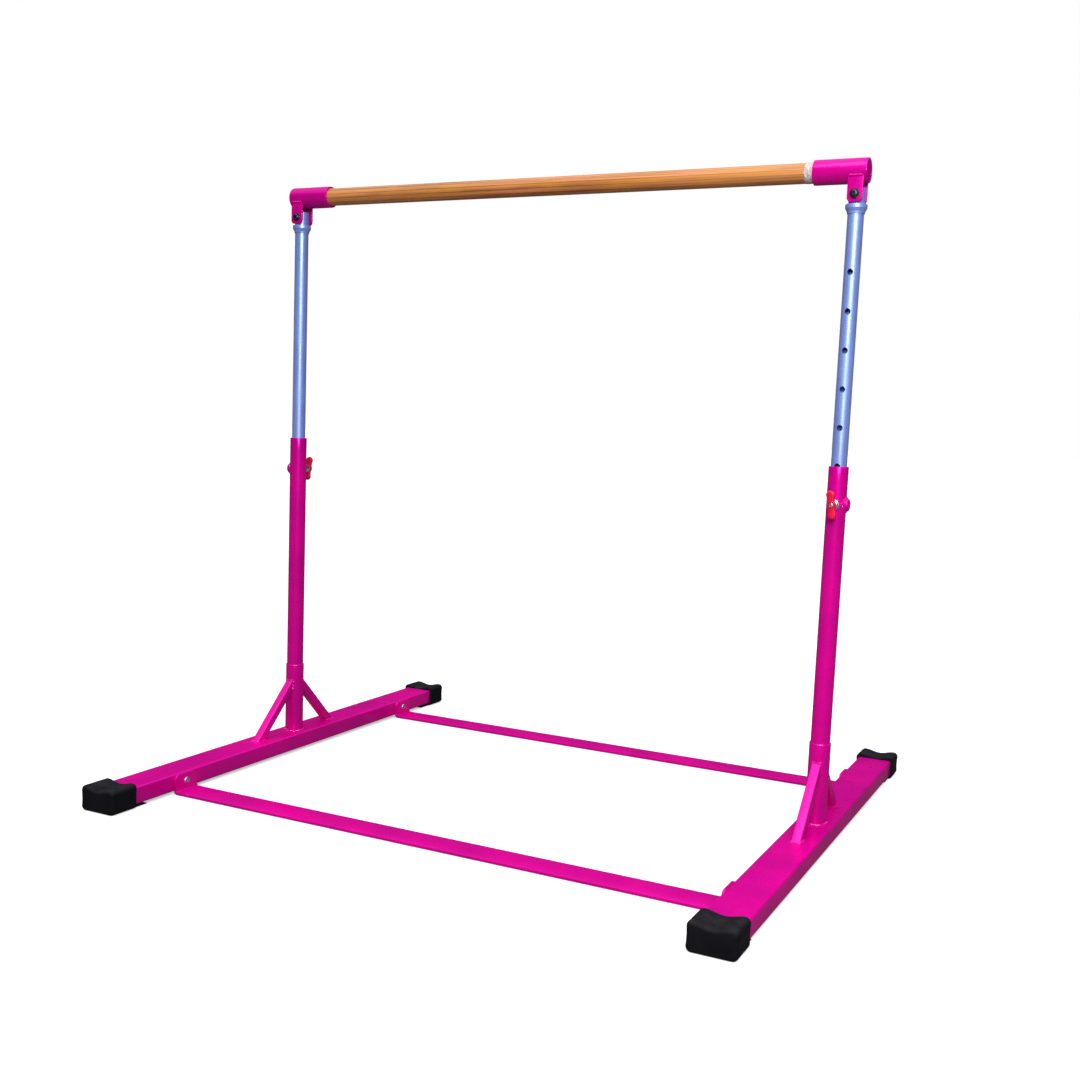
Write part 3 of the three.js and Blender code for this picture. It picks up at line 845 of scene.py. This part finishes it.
def hex_nut(across_flats, height, bore):
    """Hex nut along +Z from the origin, its corners turned down on both faces."""
    made = prism("nut", hexagon(across_flats), 0, height, "Z")
    corner, inside = across_flats / math.sqrt(3), across_flats / 2
    slope = (corner - inside) * 0.6
    corners = [(0, -MM), (inside, -MM), (inside, 0), (corner + 0.1 * MM, slope)]
    corners += [(corner + 0.1 * MM, height - slope), (inside, height), (inside, height + MM)]
    corners += [(0, height + MM)]
    turned = revolve("turned", corners, "Z", SMALL_ROUND)
    made = combine(made, "INTERSECT", [turned])
    return cut(made, prism("bore", circle(bore), -height, 2 * height, "Z"))


def along(made, axis, towards):
    """Turns a piece made along +Z so that it points along an axis."""
    if axis == "X":
        return move(made, Matrix.Rotation(towards * math.pi / 2, 4, "Y"))
    return move(made, Matrix.Rotation(-towards * math.pi / 2, 4, "X"))


def washer():
    radius, thickness = 10 * MM, 1.8 * MM
    return round_tube("washer", radius, CLEVIS_HOLE, 0, thickness, lip=0.35 * MM, steps=SMALL_ROUND)


def pan_screw():
    profile = [(0, 3.2 * MM), (2.2 * MM, 3.1 * MM), (3.8 * MM, 2.4 * MM), (4.6 * MM, 1.2 * MM)]
    profile += [(4.6 * MM, 0.2 * MM), (4.4 * MM, 0), (2.4 * MM, 0)]
    profile += threads(2.4 * MM, -2 * MM, -14 * MM, 0.9 * MM)
    made = revolve("screw", profile, "Z", 32)
    slots = []
    for size in ((1.1 * MM, 4.6 * MM), (4.6 * MM, 1.1 * MM)):
        slots.append(prism("slot", rectangle(*size), 1.6 * MM, 5 * MM, "Z"))
    return cut(made, *slots)


# ---- upper frame
def upright():
    """Sliding tube with its row of chamfered holes towards -Y, and the clevis hole."""
    made = round_tube("upright", UPRIGHT_RADIUS, UPRIGHT_RADIUS - UPRIGHT_WALL,
                      UPRIGHT_LOW, UPRIGHT_TOP, lip=0.7 * MM, cuts=64)
    face, flared = UPRIGHT_RADIUS, HOLE_RADIUS + 0.7 * MM
    profile = [
        (0, 0), (HOLE_RADIUS, 0), (HOLE_RADIUS, -face + 1.3 * MM),
        (flared, -face - 0.2 * MM), (flared, -2 * face), (0, -2 * face),
    ]
    drills = []
    for i in range(-HOLES_DOWN, HOLES_UP + 1):
        drill = revolve("drill", profile, "Y", SMALL_ROUND)
        drills.append(shift(drill, z=LOCK_Z + i * HOLE_PITCH))
    drills.append(shift(prism("drill", circle(CLEVIS_HOLE), -CUTTER, CUTTER, "Y"), z=CLEVIS_Z))
    return cut(made, *drills)


def collar():
    low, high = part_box("upright_collar_right")
    outer, inner = extent("upright_collar_right").x / 2, UPRIGHT_RADIUS + 0.3 * MM
    corners = [
        (inner, low.z), (inner + 1.0 * MM, low.z), (inner + 1.6 * MM, low.z + 4 * MM),
        (outer, low.z + 10.5 * MM), (outer, high.z), (inner, high.z),
    ]
    rounding = [0.2 * MM, 0.4 * MM, 3 * MM, 1.2 * MM, 1.2 * MM, 0.2 * MM]
    return revolve("collar", fillet(corners, rounding, 5))


def bar_socket(side):
    low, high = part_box("bar_socket_right")
    start, end = low.x - POST_X, high.x - POST_X
    inner = BAR_SOCKET_BORE
    corners = [(inner, start), (inner, end), (BAR_SOCKET_RADIUS, end), (BAR_SOCKET_RADIUS, start)]
    profile = fillet(corners, [0.5 * MM, 0.4 * MM, 2.4 * MM, 0.9 * MM], 6)
    made = revolve("socket", profile, "X")
    screw_x = middle("bar_screw_right").x - POST_X
    drill = prism("drill", circle(SCREW_HOLE), 0, 2 * BAR_SOCKET_RADIUS, "Y")
    if side.is_left:
        move(drill, Matrix.Rotation(math.pi, 4, "Z"))
    return shift(cut(made, shift(drill, x=screw_x)), z=BAR_Z)


def end_disc():
    """The welded plug that closes the socket, slightly domed."""
    low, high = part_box("socket_end_disc_right")
    start, end = low.x - POST_X, high.x - POST_X
    radius = (high.z - low.z) / 2
    corners = [(0, start), (radius, start), (radius, end - 0.4 * MM), (0, end + 0.5 * MM)]
    made = revolve("disc", fillet(corners, [0, 0.4 * MM, 1.2 * MM, 0], 5), "X")
    return shift(made, z=BAR_Z)


def disc_weld():
    """The dressed bead between the plug and the socket's rim."""
    radius = BAR_SOCKET_BORE
    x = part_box("bar_socket_right")[1].x - POST_X - 1.4 * MM
    path = [Vector((x, p.x, p.y + BAR_Z)) for p in circle(radius, ROUND)]
    return weld("disc", path, 1.3 * MM)


def ear():
    """Clevis plate on the -Y side, its lower corners round, its top cut to the socket."""
    half = (EAR_HIGH.x - EAR_LOW.x) / 2
    corners = [(half, EAR_LOW.z), (half, EAR_HIGH.z), (-half, EAR_HIGH.z), (-half, EAR_LOW.z)]
    rounding = 9 * MM
    outline = fillet(corners, [rounding, 0, 0, rounding], 10)
    made = prism("ear", outline, EAR_LOW.y, EAR_HIGH.y, "Y")
    hole = shift(prism("hole", circle(CLEVIS_HOLE), -CUTTER, 0.0, "Y"), z=CLEVIS_Z)
    bevel(made, 0.9 * MM)
    inside_wall = BAR_SOCKET_RADIUS - 1.2 * MM
    core = shift(prism("core", circle(inside_wall, ROUND), -CUTTER, CUTTER, "X"), z=BAR_Z)
    return cut(made, hole, core)


def ear_weld(face, bead):
    """A bead along the line where one face of the ear meets the socket."""
    half = (EAR_HIGH.x - EAR_LOW.x) / 2
    z = BAR_Z - math.sqrt(BAR_SOCKET_RADIUS**2 - face**2)
    inset = 0.8 * MM
    path = [Vector((x, face, z)) for x in (-half + inset, half - inset)]
    return weld("ear", path, bead, closed=False)


# ---- lock
SPRING_END = 31 * MM  # where the spring bears on the boss's cap
KNOB_FRONT = 46 * MM
KNOB_BACK = 35.5 * MM
KNOB_DEPTH = 8.5 * MM
KNOB_TILT = math.radians(-8)
NUT_SUNK = 0.9 * MM  # from the knob's front to the nut's


def lock_pin():
    tip, shoulder, end = 16.3 * MM, 18.8 * MM, 44 * MM
    nose, flange, shank = 4 * MM, 5.5 * MM, 3 * MM  # radii
    back = -shoulder - 1.5 * MM
    corners = [
        (0, -tip), (nose, -tip), (nose, -shoulder), (flange, -shoulder),
        (flange, back), (shank, back), (shank, -end), (0, -end),
    ]
    rounding = [0, 0.9 * MM, 0.1 * MM, 0.3 * MM, 0.3 * MM, 0.2 * MM, 0.6 * MM, 0]
    return shift(revolve("pin", fillet(corners, rounding, 3), "Y", SMALL_ROUND), z=LOCK_Z)


def spring():
    radius, wire, turns, start, end = 4.7 * MM, 0.36 * MM, 3.5, 20.9 * MM, SPRING_END
    steps = 150
    path = []
    for i in range(steps + 1):
        angle = 2 * math.pi * turns * i / steps
        y = -(start + (end - start) * i / steps)
        path.append(Vector((radius * math.cos(angle), y, LOCK_Z + radius * math.sin(angle))))
    return sweep("spring", path, [wire] * len(path), closed=False)


def wing(inset, steps=14):
    """The knob's outline: two round lobes and a waist. X and Z."""
    lobe, lobe_at, waist, side = 9 * MM - inset, 20.5 * MM, 6.3 * MM - inset, math.pi / 7
    outline = []
    for sign in (1, -1):
        for i in range(steps + 1):
            angle = -side + (math.pi + 2 * side) * i / steps + (0 if sign > 0 else math.pi)
            outline.append(Vector((lobe * math.cos(angle), sign * lobe_at + lobe * math.sin(angle))))
        corner = outline[-1]
        for i in range(1, 8):
            share = i / 8
            x = corner.x * (1 - share) ** 2 - sign * waist * 2 * share * (1 - share) + corner.x * share**2
            outline.append(Vector((x, corner.y * (1 - 2 * share))))
    return outline


def knob():
    """Wing knob with pillowed lobes, a round hub and a recess for its nut."""
    rings = []
    rounds, edge = 5, 4.0 * MM
    for i in range(rounds + 1):
        angle = math.pi / 2 * i / rounds
        y = -KNOB_FRONT + edge * (1 - math.cos(angle))
        rings.append(ring(wing(edge * (1 - math.sin(angle))), y, "Y"))
    for i in range(rounds + 1):
        angle = math.pi / 2 * (1 - i / rounds)
        y = -KNOB_FRONT + KNOB_DEPTH - edge * (1 - math.cos(angle))
        rings.append(ring(wing(edge * (1 - math.sin(angle))), y, "Y"))
    made = loft("knob", rings)
    hub_radius = 8.5 * MM
    corners = [(0, -KNOB_BACK), (hub_radius, -KNOB_BACK), (hub_radius, -KNOB_FRONT), (0, -KNOB_FRONT)]
    hub = revolve("hub", fillet(corners, [0, 0.8 * MM, 1.2 * MM, 0], 4), "Y", SMALL_ROUND)
    floor = -KNOB_FRONT + 4.6 * MM
    pocket = prism("pocket", circle(6 * MM), -KNOB_FRONT - 10 * MM, floor, "Y")
    bore = prism("bore", circle(SHANK_HOLE), -80 * MM, 0, "Y")
    made = cut(add(made, hub), pocket, bore)
    return shift(move(made, Matrix.Rotation(KNOB_TILT, 4, "Y")), z=LOCK_Z)


def knob_nut():
    face = -KNOB_FRONT + NUT_SUNK
    made = along(hex_nut(**KNOB_NUT), "Y", -1)
    return shift(made, y=face + KNOB_NUT["height"], z=LOCK_Z)


# ---- whole sides
def build_base(side):
    side.put(rail(), "frame_paint", "floor_rail")
    stub_wall = 1.7 * MM
    stub = round_tube("stub", STUB_RADIUS, STUB_RADIUS - stub_wall, RAIL_TOP, STUB_TOP,
                      lip=1.0 * MM, cuts=8)
    side.put(stub, "frame_paint", "post_socket")
    side.put(sleeve(), "frame_paint", "post_sleeve")
    side.put(lock_boss(), "fastener_steel", "lock_boss")
    side.put(side_boss(), "frame_paint", "side_boss")
    proud = 0.6 * MM  # from a tube's face out to its ring bead's centre
    foot_bead = ring_weld(STUB_RADIUS + proud, RAIL_TOP + 0.5 * MM, bead=3.6 * MM)
    side.put_weld(foot_bead, "post_foot", "base")
    stub_bead = ring_weld(SLEEVE_RADIUS + proud, STUB_TOP - 0.2 * MM, bead=1.5 * MM)
    side.put_weld(stub_bead, "stub_top", "base")
    side.put_weld(boss_weld(radius=11.4 * MM, axis="Y", bead=1.8 * MM), "lock_boss", "base")
    side.put_weld(boss_weld(radius=13.6 * MM, axis="X", bead=2.6 * MM), "side_boss", "base")
    side.put_weld(bridge_weld(), "lock_bridge", "base")
    wall = -RAIL_WIDTH / 2
    play = 0.3 * MM
    plate = CROSS_THICKNESS + 0.4 * MM  # the cross bar and its clearance
    for end, turn in side.ends:
        side.put(boot(), "boot_rubber", f"end_boot_{end}", turn)
        side.put(brace(), "frame_paint", f"brace_{end}", turn)
        side.put_weld(brace_foot_weld(), f"brace_foot_{end}", "base", turn)
        side.put_weld(brace_post_weld(), f"brace_post_{end}", "base", turn)
        y = CROSS_Y if turn else -CROSS_Y
        bolt = along(button_bolt(**CROSS_BOLT), "X", -1)
        side.put(shift(bolt, wall - plate, y, RAIL_MID), "fastener_steel", f"cross_bolt_{end}")
        nut = along(hex_nut(**CROSS_NUT), "X", 1)
        nut = shift(nut, wall + RAIL_WALL + play, y, RAIL_MID)
        side.put(nut, "fastener_steel", f"cross_nut_{end}")


def build_top(side):
    side.put(upright(), "upright_zinc", "upright")
    side.put(collar(), "upright_zinc", "upright_collar")
    side.put(bar_socket(side), "frame_paint", "bar_socket")
    side.put(end_disc(), "frame_paint", "socket_end_disc")
    side.put_weld(disc_weld(), "end_disc", "upper_frame")
    for end, turn in side.ends:
        side.put(ear(), "frame_paint", f"socket_ear_{end}", turn)
        bead = ear_weld(EAR_LOW.y, bead=2.4 * MM)
        side.put_weld(bead, f"ear_out_{end}", "upper_frame", turn, MATERIALS["frame_paint"])
    face = -EAR_LOW.y
    front = side.front
    ring_piece = shift(along(washer(), "Y", front), y=front * (face + SEAT_GAP), z=CLEVIS_Z)
    side.put(ring_piece, "fastener_steel", "clevis_washer", material=DARK_STEEL)
    washer_room = 2 * MM
    bolt = button_bolt(length=2 * face + 14 * MM, **CLEVIS_BOLT)
    bolt = shift(along(bolt, "Y", front), y=front * (face + washer_room), z=CLEVIS_Z)
    side.put(bolt, "fastener_steel", "clevis_bolt", material=DARK_STEEL)
    nut = along(hex_nut(**CLEVIS_NUT), "Y", -front)
    nut = shift(nut, y=-front * (face + SEAT_GAP), z=CLEVIS_Z)
    side.put(nut, "fastener_steel", "clevis_nut")
    screw_x = middle("bar_screw_right").x - POST_X
    screw = along(pan_screw(), "Y", -front)
    screw = shift(screw, screw_x, -front * (BAR_SOCKET_RADIUS + SEAT_GAP), BAR_Z)
    side.put(screw, "fastener_steel", "bar_screw")


def build_lock(side):
    side.put(lock_pin(), "fastener_steel", "lock_pin")
    coil = side.put(spring(), "fastener_steel", "lock_spring")
    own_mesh(coil)
    side.put(knob(), "knob_plastic", "lock_knob")
    side.put(knob_nut(), "fastener_steel", "knob_nut")


# ---- cross members
def cross_bar(node, y):
    """Flat bar low on the floor, bent up at each end and bolted to the rails."""
    reach, base, top = CROSS_HIGH.x, CROSS_LOW.z, CROSS_HIGH.z
    thick = CROSS_THICKNESS
    half = (CROSS_HIGH.y - CROSS_LOW.y) / 2
    corners = [
        (reach, base), (reach, top), (reach - thick, top), (reach - thick, base + thick),
        (-reach + thick, base + thick), (-reach + thick, top), (-reach, top), (-reach, base),
    ]
    outer, inner = 9 * MM, 4 * MM
    profile = fillet(corners, [outer, 0, 0, inner, inner, 0, 0, outer], 8)
    made = prism("strip", profile, -half, half, "Y")
    corner = 12 * MM
    trim = fillet([(half, -MM), (half, top), (-half, top), (-half, -MM)], [0, corner, corner, 0], 8)
    made = combine(made, "INTERSECT", [prism("trim", trim, -1, 1, "X")])
    bevel(made, 0.7 * MM, angle=50)
    drill = prism("drill", circle(CROSS_HOLE), -1, 1, "X")
    cut(made, shift(drill, z=RAIL_MID))
    made.name = node
    return keep(shift(made, y=y), "frame_paint", node)


def wooden_bar():
    cuts = 48
    edge = 1.5 * MM
    profile = [(0, -BAR_HALF), (BAR_RADIUS - edge, -BAR_HALF)]
    span = 2 * (BAR_HALF - edge)
    profile += [(BAR_RADIUS, -BAR_HALF + edge + span * i / cuts) for i in range(cuts + 1)]
    profile += [(BAR_RADIUS - edge, BAR_HALF), (0, BAR_HALF)]
    made = revolve("wooden_bar", profile, "X")
    drills = []
    for name in ("left", "right"):
        x = middle(f"bar_screw_{name}").x
        drill = prism("pilot", circle(SCREW_HOLE, 24), 8 * MM, CUTTER, "Y")
        drills.append(shift(drill, x=x))
    return keep(shift(cut(made, *drills), z=BAR_Z), "bar_wood", "wooden_bar")


def bar_tape():
    """A turn of milky tape with slack wrinkles and a ragged edge."""
    low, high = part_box("bar_tape")
    rings = []
    rows, steps = 14, ROUND * 2
    start, end = low.x, high.x
    for i in range(rows + 1):
        share = i / rows
        row = []
        for k in range(steps):
            a = 2 * math.pi * k / steps
            ragged = 0.5 * MM * math.sin(7 * a + 1) + 0.35 * MM * math.sin(17 * a)
            x = start + (end - start) * share + ragged * (1 - 2 * share) * (abs(2 * share - 1))
            crinkle = math.sin(11 * a + 9 * share) * math.sin(5 * a - 14 * share + 2)
            radius = BAR_RADIUS + (0.45 + 0.22 * crinkle) * MM
            row.append(Vector((x, radius * math.cos(a), radius * math.sin(a))))
        rings.append(row)
    under = BAR_RADIUS + 0.05 * MM
    for row in (rings[-1], rings[0]):
        rings.append([Vector((p.x, *(Vector((p.y, p.z)).normalized() * under))) for p in row])
    made = shift(loft("bar_tape", rings, closed=True), z=BAR_Z)
    return keep(made, "clear_tape", "bar_tape")


# ---- camera and light
def camera():
    """The reference viewpoint, with its turn about Z, tilt and roll in degrees."""
    place = (1.2650, -2.4863, 0.8490)
    turn, tilt, roll = 25.691, -6.782, 2.379
    data = bpy.data.cameras.new("camera")
    data.sensor_width = 36
    data.lens = 41.278
    data.shift_x = -0.0216
    data.shift_y = 0.0272
    made = put_in_scene("camera", data)
    rotation = Matrix.Rotation(math.radians(turn), 4, "Z")
    rotation = rotation @ Matrix.Rotation(math.radians(90 + tilt), 4, "X")
    rotation = rotation @ Matrix.Rotation(math.radians(roll), 4, "Z")
    made.matrix_world = Matrix.Translation(place) @ rotation
    bpy.context.scene.camera = made


ROOM = {"low": 0.07, "high": 1.45}  # brightness at eye level and overhead
ROOM_BAND = (0.45, 0.95)  # where it rises from one to the other; 1 is straight up
FLOOR = {"seen": 0.80, "glow": 0.45, "mirrored": 0.22, "radius": 60}


def light(name, kind, place, aim, power, tint=(1, 1, 1), **shape):
    data = bpy.data.lights.new(name, kind)
    data.energy = power
    data.color = tint
    for key, value in shape.items():
        setattr(data, key, value)
    made = put_in_scene(name, data)
    made.location = place
    made.rotation_euler = (Vector(aim) - Vector(place)).to_track_quat("-Z", "Y").to_euler()


def by_ray(tree, kind, kept, seen, target):
    """Shows one shader to rays of one kind, such as the camera's, and the other to the rest."""
    pick = tree.nodes.new("ShaderNodeMixShader")
    rays = tree.nodes.new("ShaderNodeLightPath")
    tree.links.new(rays.outputs[f"Is {kind} Ray"], pick.inputs[0])
    tree.links.new(kept, pick.inputs[1])
    tree.links.new(seen, pick.inputs[2])
    tree.links.new(pick.outputs[0], target)


def room():
    """Light from a room that is dark at eye level and bright overhead, and a white backdrop."""
    world = bpy.data.worlds.new("studio")
    bpy.context.scene.world = world
    world.use_nodes = True
    tree = world.node_tree
    seen = tree.nodes.new("ShaderNodeBackground")
    seen.inputs["Color"].default_value = (1, 1, 1, 1)
    lit = tree.nodes["Background"]
    up = tree.nodes.new("ShaderNodeSeparateXYZ")
    tree.links.new(tree.nodes.new("ShaderNodeTexCoord").outputs["Generated"], up.inputs[0])
    height = tree.nodes.new("ShaderNodeMapRange")
    start, end = ROOM_BAND
    rise = {"From Min": start, "From Max": end, "To Min": ROOM["low"], "To Max": ROOM["high"]}
    for key, value in rise.items():
        height.inputs[key].default_value = value
    tree.links.new(up.outputs["Z"], height.inputs["Value"])
    tree.links.new(height.outputs["Result"], lit.inputs["Strength"])
    lit.inputs["Color"].default_value = (0.95, 0.96, 1.0, 1)
    surface = tree.nodes["World Output"].inputs["Surface"]
    by_ray(tree, "Camera", lit.outputs[0], seen.outputs[0], surface)


def studio_floor():
    """A floor that the camera sees as white, dull to bounced light, bright only in reflections."""
    low, high = -20 * MM, -0.3 * MM
    floor = prism("studio_floor", circle(FLOOR["radius"], ROUND), low, high, "Z")
    m = Nodes("floor")
    m.set(Base_Color=(FLOOR["seen"],) * 3 + (1,), Roughness=0.9, Specular_IOR_Level=0.0)
    m.set(Emission_Color=(1, 1, 1, 1), Emission_Strength=FLOOR["glow"])
    dull = m.add("ShaderNodeBsdfDiffuse")
    dull.inputs["Color"].default_value = (0.06, 0.055, 0.06, 1)
    glow = m.add("ShaderNodeEmission")
    glow.inputs["Strength"].default_value = FLOOR["mirrored"]
    surface = m.tree.nodes["Material Output"].inputs["Surface"]
    by_ray(m.tree, "Camera", dull.outputs[0], m.shader.outputs[0], surface)
    first_pick = surface.links[0].from_node
    by_ray(m.tree, "Glossy", dull.outputs[0], glow.outputs[0], first_pick.inputs[1])
    floor.data.materials.append(m.material)


def lights():
    """A wide soft sun from the front and above, and a softbox at the front right."""
    light("sun", "SUN", (-0.4, -2.0, 3.0), (0, 0, 0), power=1.05, angle=math.radians(35))
    light("front", "AREA", (1.7, -2.8, 2.0), (0.3, 0, 0.6), power=105, tint=(1.0, 0.98, 1.0),
          shape="RECTANGLE", size=1.3, size_y=1.6)


# ---- the scene
bpy.context.scene.view_settings.view_transform = "Standard"
camera()
room()
studio_floor()
lights()

for side_name in ("right", "left"):
    one_side = Side(side_name)
    build_base(one_side)
    build_top(one_side)
    build_lock(one_side)
cross_bar("cross_bar_front", -CROSS_Y)
cross_bar("cross_bar_rear", CROSS_Y)
wooden_bar()
bar_tape()
